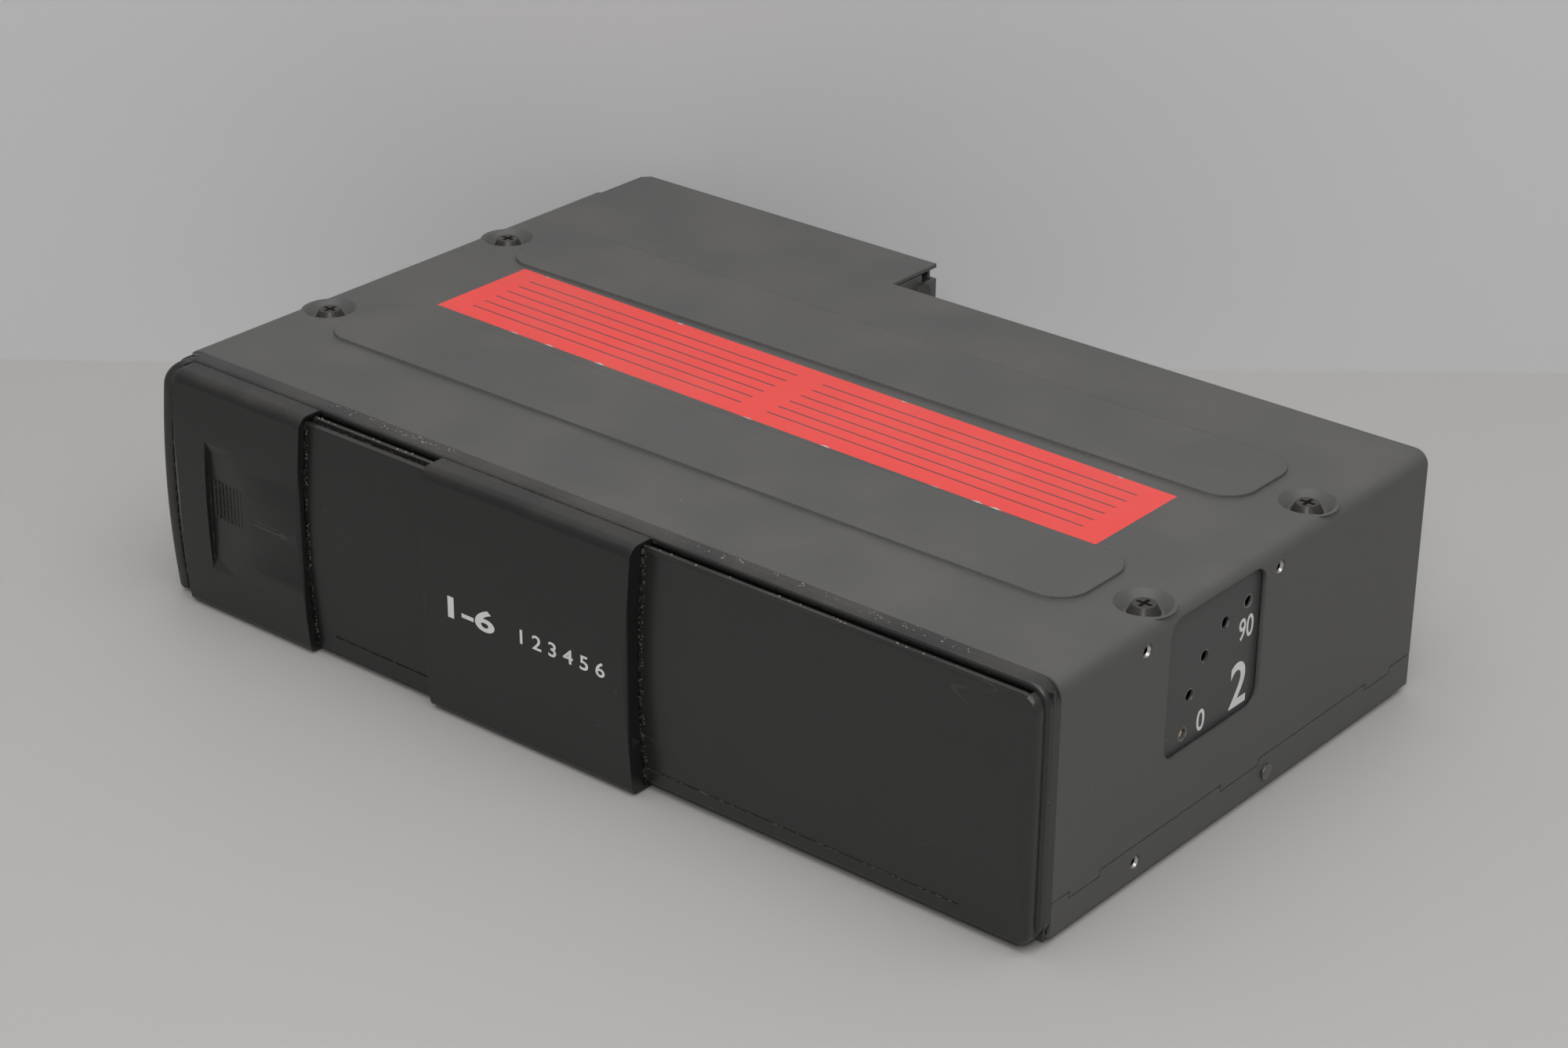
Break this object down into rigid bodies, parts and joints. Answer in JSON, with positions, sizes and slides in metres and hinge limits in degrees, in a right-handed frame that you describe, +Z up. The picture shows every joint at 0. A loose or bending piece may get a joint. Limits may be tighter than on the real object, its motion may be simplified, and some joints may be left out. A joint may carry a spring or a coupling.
{
  "type": "car cd changer",
  "caption": "Flat steel-cased car disc changer with a telescoping sliding front door over its magazine bay, side index plates and a rear connector box.",
  "frame": {"origin": "middle of the bounding box in plan, at the underside of the feet", "axes": "+X from the door's closed side to the fixed panel, along the longest side; -Y out of the front with the door; +Z up, out of the top cover"},
  "size_m": [0.257, 0.173, 0.0621],
  "materials": {
    "cover_paint": "semi-matt dark grey paint on pressed steel",
    "zinc_steel": "zinc-plated sheet",
    "zinc_screw": "zinc-plated screw",
    "black_screw": "black oxide screw",
    "socket_plastic": "black moulded connector body",
    "circuit_board": "green glass-fibre board",
    "index_paint": "black plated index plate",
    "lever_plastic": "ivory moulded lever",
    "front_plastic": "fine-grained black moulding",
    "door_plastic": "fine-grained black moulding",
    "button_plastic": "black moulding",
    "spring_steel": "spring wire",
    "damper_rubber": "soft black rubber",
    "inner_plastic": "black acetal",
    "inner_white": "natural acetal",
    "magazine_plastic": "dark moulding",
    "tray_plastic": "grey moulding",
    "disc_plastic": "clear disc with a metallised layer",
    "polished_steel": "ground rod",
    "motor_steel": "plated motor can",
    "chip_plastic": "moulded chip",
    "lens_glass": "small plastic lens"
  },
  "bodies": {
    "case": {"board_chips": "chip_plastic", "board_standoffs": "zinc_steel", "bottom_chassis": "cover_paint", "button_bracket": "front_plastic", "chassis_side_screw": "zinc_screw", "connector_board": "circuit_board", "connector_socket": "socket_plastic", "cover_posts": "zinc_steel", "cover_screws": "black_screw", "damper_pins": "zinc_screw", "dampers": "damper_rubber", "disc_1": "disc_plastic", "disc_2": "disc_plastic", "disc_3": "disc_plastic", "disc_4": "disc_plastic", "disc_5": "disc_plastic", "disc_6": "disc_plastic", "eject_spring": "spring_steel", "front_bezel": "front_plastic", "index_plate_left": "index_paint", "index_plate_right": "index_paint", "lever_pivot_left": "zinc_screw", "lever_pivot_right": "zinc_screw", "lift_motor": "motor_steel", "lift_posts": "polished_steel", "magazine_case": "magazine_plastic", "magazine_lid": "magazine_plastic", "magazine_rails": "inner_plastic", "main_board": "circuit_board", "mechanism_frame": "zinc_steel", "rear_box": "cover_paint", "rear_box_screw": "zinc_screw", "suspension_springs": "spring_steel", "top_cover": "cover_paint", "transport_screws": "zinc_screw", "tray_1": "tray_plastic", "tray_2": "tray_plastic", "tray_3": "tray_plastic", "tray_4": "tray_plastic", "tray_5": "tray_plastic", "tray_6": "tray_plastic"},
    "door_centre": {"door_leaf_centre": "door_plastic"},
    "door_grip": {"door_leaf_grip": "door_plastic"},
    "eject_key": {"eject_button": "button_plastic"},
    "lever_left": {"support_lever_left": "lever_plastic"},
    "lever_right": {"support_lever_right": "lever_plastic"},
    "lift": {"lift_deck": "zinc_steel", "spindle_motor": "motor_steel", "guide_rods": "polished_steel", "rod_saddles": "inner_plastic", "sled_motor": "motor_steel"},
    "cam": {"cam_plate": "inner_white"},
    "gear": {"lift_gear": "inner_white"},
    "spindle": {"turntable": "inner_plastic"},
    "pickup": {"pickup_sled": "inner_plastic", "pickup_lens": "lens_glass"},
    "feed_screw": {"lead_screw": "polished_steel"},
    "clamp": {"clamp_arm": "zinc_steel", "clamp_puck": "inner_plastic"}
  },
  "joints": [
    {"name": "door_centre_slide", "type": "slide", "parent": "case", "child": "door_centre", "axis": [1, 0, 0], "range_m": [0, 0.1]},
    {"name": "door_grip_slide", "type": "slide", "parent": "door_centre", "child": "door_grip", "axis": [1, 0, 0], "range_m": [0, 0.0395]},
    {"name": "eject_press", "type": "slide", "parent": "case", "child": "eject_key", "axis": [0, 1, 0], "range_m": [0, 0.0025], "stiffness_N_per_m": 400, "springref_m": -0.002, "deforming": ["eject_spring"]},
    {"name": "support_lever_left_turn", "type": "hinge", "parent": "case", "child": "lever_left", "pos_m": [-0.12502, -0.003, 0.0285], "axis": [1, 0, 0], "range_deg": [-90, 0]},
    {"name": "support_lever_right_turn", "type": "hinge", "parent": "case", "child": "lever_right", "pos_m": [0.12398, -0.003, 0.0285], "axis": [1, 0, 0], "range_deg": [-90, 0]},
    {"name": "lift_slide", "type": "slide", "parent": "case", "child": "lift", "axis": [0, 0, 1], "range_m": [0, 0.028]},
    {"name": "cam_plate_slide", "type": "slide", "parent": "case", "child": "cam", "axis": [0, -1, 0], "range_m": [0, 0.035]},
    {"name": "lift_gear_spin", "type": "hinge", "parent": "case", "child": "gear", "pos_m": [0.10247, 0.0167, 0.0102], "axis": [0, 0, 1], "range_deg": [-251, 0]},
    {"name": "turntable_spin", "type": "hinge", "parent": "lift", "child": "spindle", "pos_m": [0.05337, -0.0023, 0.0192], "axis": [0, 0, 1], "continuous": true},
    {"name": "pickup_slide", "type": "slide", "parent": "lift", "child": "pickup", "axis": [0, -1, 0], "range_m": [0, 0.033]},
    {"name": "lead_screw_spin", "type": "hinge", "parent": "lift", "child": "feed_screw", "pos_m": [0.07938, -0.0403, 0.0137], "axis": [0, 1, 0], "range_deg": [-6000, 0]},
    {"name": "clamp_lift", "type": "hinge", "parent": "lift", "child": "clamp", "pos_m": [0.10648, -0.0023, 0.0263], "axis": [0, 1, 0], "range_deg": [0, 4], "stiffness_Nm_per_rad": 0.03, "springref_deg": -8.59}
  ],
  "couplings": [
    {"joint": "cam_plate_slide", "follows": "lift_slide", "ratio": 1.25},
    {"joint": "lift_gear_spin", "follows": "lift_slide", "rad_per_m": -156.25},
    {"joint": "lead_screw_spin", "follows": "pickup_slide", "rad_per_m": -3141.6}
  ]
}
